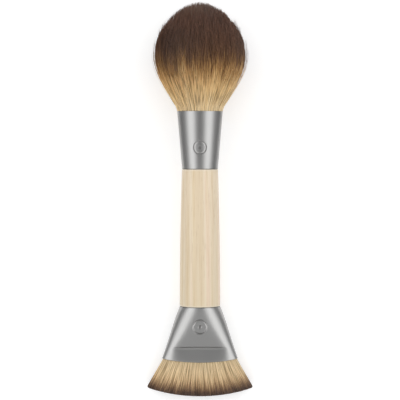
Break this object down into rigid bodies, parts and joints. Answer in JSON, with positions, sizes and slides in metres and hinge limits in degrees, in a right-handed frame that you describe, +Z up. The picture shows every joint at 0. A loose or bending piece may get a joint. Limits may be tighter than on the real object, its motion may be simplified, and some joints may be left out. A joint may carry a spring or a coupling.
{
  "type": "double ended makeup brush",
  "caption": "Double ended makeup brush: soft teardrop powder head and flat fanned contour head, in metal ferrules on a turned bamboo handle, lying at rest.",
  "frame": {"origin": "centre of the bounding box, on the surface that the brush lies on", "axes": "+Z up, +Y along the brush from the contour head to the powder head, +X across the fan; the brush's own axis rises about 6 degrees towards the powder head"},
  "size_m": [0.044, 0.1642, 0.039],
  "materials": {
    "bamboo": "pale bamboo strips, sanded and clear matt lacquered",
    "ferrule_metal": "satin, fine circumferential polish",
    "powder_fibre": "soft synthetic filaments, golden at the root and dark brown at the tips",
    "contour_fibre": "dense synthetic filaments, golden with dark brown trimmed tips",
    "resin": "cured casting resin",
    "glue": "cured adhesive"
  },
  "bodies": {
    "root": {"handle": "bamboo", "powder_ferrule": "ferrule_metal", "powder_bristles": "powder_fibre", "powder_root_plug": "resin", "powder_tenon_glue": "glue", "contour_ferrule": "ferrule_metal", "contour_bristles": "contour_fibre", "contour_root_plug": "resin", "contour_tenon_glue": "glue"}
  },
  "joints": []
}
